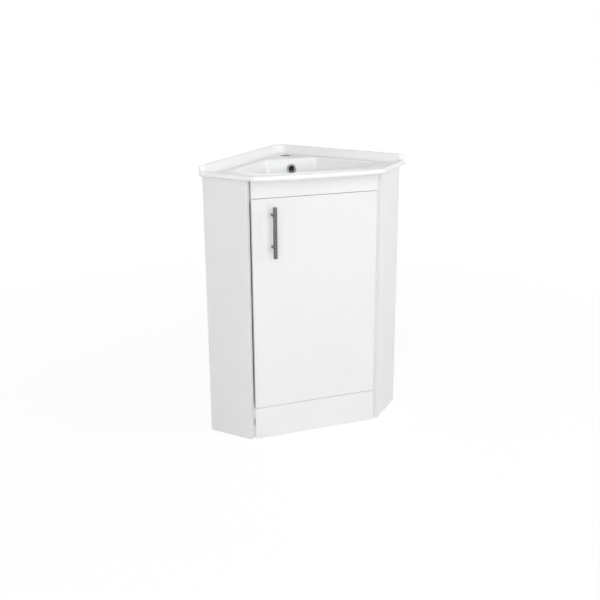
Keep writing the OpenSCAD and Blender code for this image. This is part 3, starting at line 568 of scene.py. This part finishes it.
def tool(profile, steps, matrix):
    """A turned cutter, placed by a matrix."""
    bm = lathe(in_metres(profile), steps, False)
    bmesh.ops.transform(bm, matrix=matrix, verts=bm.verts)
    return as_object("tool", bm)


# The tap hole's rounded rim: how far each point is outside the hole's wall, and over the deck
TAP_RIM = [(0, -1.6), (0.2, -1), (0.6, -0.5), (1.3, -0.1), (2.3, 0.3)]
TAP_FROM, TAP_TO = -14, 6  # its cutter reaches from here to here over the deck
SPILL_R, SPILL_FROM, SPILL_TO = 11.2, -9, 24  # the same for the overflow hole, along its axis

# The overflow sits where the bowl's back wall leans as between two of its levels
UPPER, LOWER = LEVELS[1], LEVELS[3]
OVERFLOW_DROP = 32  # depth of its axis below the deck
LEAN = (LOWER[3] - UPPER[3]) / ((LOWER[4] - UPPER[4]) * DEPTH)
OVER_Z = DECK_Z - OVERFLOW_DROP
OVER_Y = BACK_Y - BOWL_BACK - UPPER[3] - (DECK_Z - UPPER[4] * DEPTH - OVER_Z) * LEAN
# The overflow's frame: +Z of a turned piece runs into the ceramic
AT_OVERFLOW = (Matrix.Translation((0, (OVER_Y + UNIT_Y) * MM, OVER_Z * MM))
               @ Matrix.Rotation(-math.atan(LEAN) - math.pi / 2, 4, "X"))


def make_basin():
    """The glazed basin with its tap and overflow holes cut."""
    o = put("basin_glazed", basin_mesh(), GLAZE, "cabinet", "glaze", "basin")
    rim_points = [(TAP_R + out, over) for out, over in TAP_RIM]
    rim_r = rim_points[-1][0]
    tap = [(0, TAP_FROM), (TAP_R, TAP_FROM)] + rim_points + [(rim_r, TAP_TO), (0, TAP_TO)]
    spill = [(0, SPILL_FROM), (SPILL_R, SPILL_FROM), (SPILL_R, SPILL_TO), (0, SPILL_TO)]
    cut(o, [tool(tap, 96, Matrix.Translation(TAP_PLACE)), tool(spill, 64, AT_OVERFLOW)])
    bm = bmesh.new()
    bm.from_mesh(o.data)
    bmesh.ops.remove_doubles(bm, verts=bm.verts, dist=0.01 * MM)
    sharpen(bm, 50)
    bm.to_mesh(o.data)
    bm.free()
    o.data.materials.clear()
    o.data.materials.append(GLAZE)


make_basin()

# The overflow ring: radii of its flange, sleeve and opening, and of the flange's two roundings
FLANGE_R, SLEEVE_R, OPENING_R, OUTER_ROUND, INNER_ROUND = 15.5, 11.0, 9.0, 1.2, 1.3
# Places along its axis: the flange's face and back, and the sleeve's end
RING_FACE, RING_BACK, RING_END = -2.3, -0.3, 5.7


def make_ring():
    """The overflow's chrome ring: a rounded flange on a sleeve that stands in the hole."""
    bore = [(OPENING_R + 0.1, 0.8), (OPENING_R, 4), (OPENING_R, RING_END)]
    inner = OPENING_R + 0.2 + INNER_ROUND
    profile = (
        [(FLANGE_R, RING_BACK)]
        + arc((FLANGE_R - OUTER_ROUND, RING_FACE + OUTER_ROUND), OUTER_ROUND, 0, -90, 8)
        + arc((inner, RING_FACE + INNER_ROUND), INNER_ROUND, -90, -180, 8)
        + bore
        + [(SLEEVE_R, RING_END), (SLEEVE_R, RING_BACK)]
    )
    bm = lathe(in_metres(profile), 96, True)
    bmesh.ops.transform(bm, matrix=AT_OVERFLOW, verts=bm.verts)
    sharpen(bm, 45)
    put("overflow_chrome", bm, CHROME, "cabinet", "chrome", "overflow_ring")


make_ring()


# ---------- boards ----------

# Widths of the eased edges, in millimetres
FRONT_EASE, DOOR_EASE, INSIDE_EASE = 0.8, 1.2, 0.6
EASED_FROM = 12  # shorter edges, such as those round a bore, stay sharp
CREASE, SQUARE, FLAT = math.radians(20), math.radians(30), math.radians(0.5)


def make_board(name, mat, slot, ease, body="cabinet"):
    """The board's own shape with its long edges eased."""
    bm = bmesh.new()
    bm.from_mesh(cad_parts[name].data)
    bmesh.ops.remove_doubles(bm, verts=bm.verts, dist=0.002 * MM)
    bmesh.ops.dissolve_limit(bm, angle_limit=FLAT, verts=bm.verts, edges=bm.edges)
    weight = bm.edges.layers.float.new("bevel_weight_edge")
    for e in bm.edges:
        angle = e.calc_face_angle(0) if e.is_manifold else 0
        e.smooth = angle <= CREASE
        e[weight] = 1.0 if angle > SQUARE and e.calc_length() > EASED_FROM * MM else 0.0
    for f in bm.faces:
        f.smooth = True
    o = put(name + "_eased", bm, mat, body, slot, name)
    mod = o.modifiers.new("ease", "BEVEL")
    mod.limit_method = "WEIGHT"
    mod.width = ease * MM
    mod.segments = 3
    mod.harden_normals = True
    mod.use_clamp_overlap = True
    apply_modifiers(o)


for n in ("left_side_panel", "right_side_panel", "plinth_panel", "top_rail"):
    make_board(n, WHITE, "white_board", FRONT_EASE)
make_board("door_panel", WHITE, "white_board", DOOR_EASE, "door")
for n in ("base_panel", "front_batten", "corner_post", "left_upper_rail", "right_upper_rail",
          "left_lower_rail", "right_lower_rail"):
    make_board(n, INSIDE, "inside_board", INSIDE_EASE)


# ---------- handle ----------

END_ROUND = 0.9 * MM  # rounding of the bar's ends
BAR_STEPS = 12  # rings from the bar's middle to each end
POST_R, POST_EASE = 4 * MM, 0.4 * MM  # a post, and the eased edge at the door


def make_handle():
    """The bar, and the two posts that hold it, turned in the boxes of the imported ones."""
    lo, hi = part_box("handle_bar")
    c, r, half = (lo + hi) / 2, (hi.x - lo.x) / 2, (hi.z - lo.z) / 2
    edge = r - END_ROUND
    end = [(0, half), (edge, half)] + arc((edge, half - END_ROUND), END_ROUND, 90, 0, 5)[1:]
    length = [(r, half * k / BAR_STEPS) for k in range(BAR_STEPS - 1, -BAR_STEPS, -1)]
    bm = lathe(end + length + [(a, -b) for a, b in reversed(end)], 72, False)
    sharpen(bm, 50)
    bmesh.ops.transform(bm, matrix=Matrix.Translation(c), verts=bm.verts)
    put("handle_bar_satin", bm, HANDLE, "door", "handle_steel", "handle_bar")
    lo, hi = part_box("handle_posts")
    length = hi.y - lo.y
    profile = [(0, 0), (POST_R, 0), (POST_R, length / 2), (POST_R, length - POST_EASE),
               (POST_R - POST_EASE, length), (0, length)]
    turn = Matrix.Rotation(-math.pi / 2, 4, "X")
    bm = bmesh.new()
    for z in (lo.z + POST_R, hi.z - POST_R):
        part = lathe(profile, 48, False)
        place = Matrix.Translation(((lo.x + hi.x) / 2, lo.y, z))
        bmesh.ops.transform(part, matrix=place @ turn, verts=part.verts)
        mesh = bpy.data.meshes.new("part")
        part.to_mesh(mesh)
        part.free()
        bm.from_mesh(mesh)
        bpy.data.meshes.remove(mesh)
    sharpen(bm, 50)
    put("handle_posts_satin", bm, HANDLE, "door", "handle_steel", "handle_posts")


make_handle()

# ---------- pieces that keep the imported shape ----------

KEPT = {
    "left_back_panel": INSIDE, "right_back_panel": INSIDE,
    "carcass_dowels": BEECH, "door_buffers": BUFFER, "corner_brackets": STEEL, "plinth_brackets": STEEL,
    "bracket_screws": STEEL, "rail_screws": STEEL, "handle_screws": STEEL, "cup_screws": STEEL,
    "arm_screws": STEEL, "plate_screws": STEEL, "upper_hinge_cup": NICKEL, "lower_hinge_cup": NICKEL,
    "upper_hinge_pin": STEEL, "lower_hinge_pin": STEEL, "upper_hinge_arm": NICKEL,
    "lower_hinge_arm": NICKEL, "upper_hinge_plate": NICKEL, "lower_hinge_plate": NICKEL,
}
for n, m in KEPT.items():
    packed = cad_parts[n]
    slots = packed.material_slots
    if len(slots) == 0:
        packed.data.materials.append(m)
    for s in slots:
        s.material = m


# ---------- floor, light and camera ----------

FLOOR_HALF = 6.0  # half the floor's side, in metres
FADE = (0.7, 2.0)  # it fades into the backdrop between these distances from its middle, in metres
# How much of the floor looks like backdrop, and how bright that is, near the unit and far off
FLOOR_SHARE, FLOOR_GLOW = (0.9, 1.0), (1.04, 1.0)


def make_floor():
    """A floor that looks like the backdrop far off, and takes a little shadow near the unit."""
    bm = bmesh.new()
    bmesh.ops.create_grid(bm, x_segments=1, y_segments=1, size=FLOOR_HALF)
    o = as_object("floor", bm)
    m = bpy.data.materials.new("pale_floor")
    m.use_nodes = True
    nt = m.node_tree
    nt.nodes.clear()
    path = node(nt, "ShaderNodeLightPath")
    out = node(nt, "ShaderNodeOutputMaterial")
    place = node(nt, "ShaderNodeTexCoord")
    away = node(nt, "ShaderNodeVectorMath", operation="LENGTH")
    nt.links.new(place.outputs["Object"], away.inputs[0])
    plain = node(nt, "ShaderNodeBsdfDiffuse", Color=(0.72, 0.72, 0.72, 1))
    glow = node(nt, "ShaderNodeEmission")
    seen = node(nt, "ShaderNodeMath", operation="MAXIMUM")
    share = node(nt, "ShaderNodeMath", operation="MULTIPLY")
    nt.links.new(spread(nt, away.outputs["Value"], *FLOOR_SHARE, FADE), share.inputs[1])
    nt.links.new(spread(nt, away.outputs["Value"], *FLOOR_GLOW, FADE), glow.inputs["Strength"])
    mix = node(nt, "ShaderNodeMixShader")
    nt.links.new(path.outputs["Is Camera Ray"], seen.inputs[0])
    nt.links.new(path.outputs["Is Glossy Ray"], seen.inputs[1])
    nt.links.new(seen.outputs["Value"], share.inputs[0])
    nt.links.new(share.outputs["Value"], mix.inputs["Fac"])
    nt.links.new(plain.outputs["BSDF"], mix.inputs[1])
    nt.links.new(glow.outputs["Emission"], mix.inputs[2])
    nt.links.new(mix.outputs["Shader"], out.inputs["Surface"])
    o.data.materials.append(m)


make_floor()

WORLD = 0.1  # strength of the backdrop as a light; the camera and glossy surfaces see it as white


def make_world():
    """White wherever the camera, a mirror or a clear piece shows it, and a weak light elsewhere."""
    w = bpy.data.worlds.new("studio")
    bpy.context.scene.world = w
    w.use_nodes = True
    nt = w.node_tree
    nt.nodes.clear()
    path = node(nt, "ShaderNodeLightPath")
    seen = node(nt, "ShaderNodeMath", operation="MAXIMUM")
    shown = node(nt, "ShaderNodeMath", operation="MAXIMUM")
    level = node(nt, "ShaderNodeMapRange")
    level.inputs["To Min"].default_value = WORLD
    level.inputs["To Max"].default_value = 1.0
    back = node(nt, "ShaderNodeBackground", Color=(1, 1, 1, 1))
    out = node(nt, "ShaderNodeOutputWorld")
    nt.links.new(path.outputs["Is Camera Ray"], seen.inputs[0])
    nt.links.new(path.outputs["Is Glossy Ray"], seen.inputs[1])
    nt.links.new(seen.outputs["Value"], shown.inputs[0])
    nt.links.new(path.outputs["Is Transmission Ray"], shown.inputs[1])
    nt.links.new(shown.outputs["Value"], level.inputs["Value"])
    nt.links.new(level.outputs["Result"], back.inputs["Strength"])
    nt.links.new(back.outputs["Background"], out.inputs["Surface"])


make_world()


def lamp(name, place, aim, size, power):
    """A white rectangle of light that faces the point aim."""
    data = bpy.data.lights.new(name, "AREA")
    data.shape = "RECTANGLE"
    data.size, data.size_y = size
    data.energy = power
    o = bpy.data.objects.new(name, data)
    bpy.context.scene.collection.objects.link(o)
    o.location = place
    o.rotation_mode = "QUATERNION"
    o.rotation_quaternion = (Vector(aim) - Vector(place)).to_track_quat("-Z", "Y")


# Each with its place, the point it faces, its size in metres and its power in watts
lamp("key", (-0.9, -3.1, 2.0), (0, 0, 0.45), (3.4, 2.6), 52.5)
lamp("side", (2.9, -1.5, 1.9), (0, 0, 0.5), (2.4, 2.2), 47.5)
lamp("top", (0, -0.4, 3.2), (0, 0, 0.6), (2.4, 2.4), 20.5)
lamp("front", (-0.2, -3.4, 1.0), (0, 0, 0.6), (2.6, 1.0), 22)
lamp("left", (-3.1, -1.2, 1.0), (0, 0, 0.6), (1.6, 1.0), 13)
lamp("back", (0.4, 3.0, 0.7), (0, 0, 0.45), (2.8, 1.2), 17)


# The camera, solved from points measured in the photo. Its vertical shift is held at -0.10, so that
# views from other angles keep the whole unit. The three angles are in degrees: how far round to the
# left of the front it stands, how far it looks down, and how far its right side is raised.
AZIMUTH, ELEVATION, ROLL = 20.47, 15.66, 0.49
LENS, SHIFT = 48.39, (-0.0679, -0.10)
CAMERA_PLACE = (-0.73866, -2.18849 + UNIT_Y * MM, 1.27111)


def make_camera():
    az, el, roll = (math.radians(a) for a in (AZIMUTH, ELEVATION, ROLL))
    back = Vector((-math.sin(az) * math.cos(el), -math.cos(az) * math.cos(el), math.sin(el)))
    right = (-back).cross(Vector((0, 0, 1))).normalized()
    up = right.cross(-back)
    c, s = math.cos(roll), math.sin(roll)
    right, up = c * right + s * up, -s * right + c * up
    data = bpy.data.cameras.new("camera")
    data.sensor_width = 36
    data.lens = LENS
    data.shift_x, data.shift_y = SHIFT
    data.clip_start, data.clip_end = 0.05, 50
    o = bpy.data.objects.new("camera", data)
    bpy.context.scene.collection.objects.link(o)
    m = Matrix((right, up, back)).transposed().to_4x4()
    m.translation = CAMERA_PLACE
    o.matrix_world = m
    bpy.context.scene.camera = o


make_camera()
bpy.context.scene.view_settings.view_transform = "Standard"
